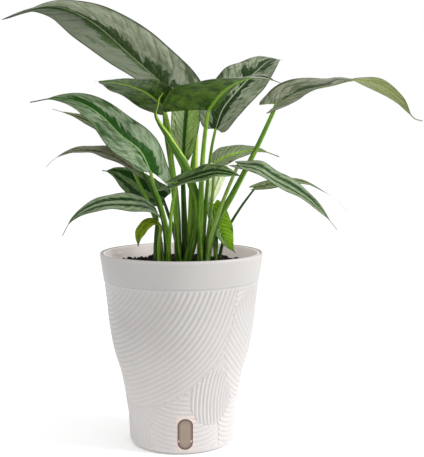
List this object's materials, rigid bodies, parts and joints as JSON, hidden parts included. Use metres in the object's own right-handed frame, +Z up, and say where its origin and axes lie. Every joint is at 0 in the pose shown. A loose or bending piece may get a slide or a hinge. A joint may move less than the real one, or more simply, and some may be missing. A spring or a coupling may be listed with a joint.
{
  "type": "potted house plant",
  "caption": "Silver-leaved clump-forming house plant in a tall flared white self-watering planter with a liner and a water window.",
  "frame": {"origin": "centre of the pot's flat base", "axes": "+Z up, -Y towards the front with the water window, +X to the viewer's right"},
  "size_m": [0.4305, 0.2095, 0.457],
  "materials": {
    "pot": "satin",
    "liner": "satin",
    "window": "gloss",
    "soil": "matte",
    "leaf": "satin",
    "fresh_leaf": "satin",
    "stalk": "satin"
  },
  "bodies": {
    "root": {"outer_pot": "pot", "inner_pot": "liner", "water_window": "window", "soil": "soil", "leaf_top_left": "leaf", "leaf_front_left": "leaf", "leaf_front_right": "leaf", "leaf_top_right": "leaf", "leaf_far_right": "leaf", "leaf_left": "leaf", "leaf_left_behind": "leaf", "leaf_left_middle": "leaf", "leaf_left_dark": "leaf", "leaf_low_left": "leaf", "leaf_curled": "fresh_leaf", "leaf_front": "leaf", "leaf_right_folded": "leaf", "leaf_right_drooping": "leaf", "leaf_right_low": "leaf", "leaf_right_hanging": "fresh_leaf", "leaf_centre_back": "leaf", "leaf_pale_back": "fresh_leaf", "shoot_left": "stalk", "shoot_middle": "stalk", "shoot_right": "stalk", "shoot_edge": "stalk"}
  },
  "joints": []
}
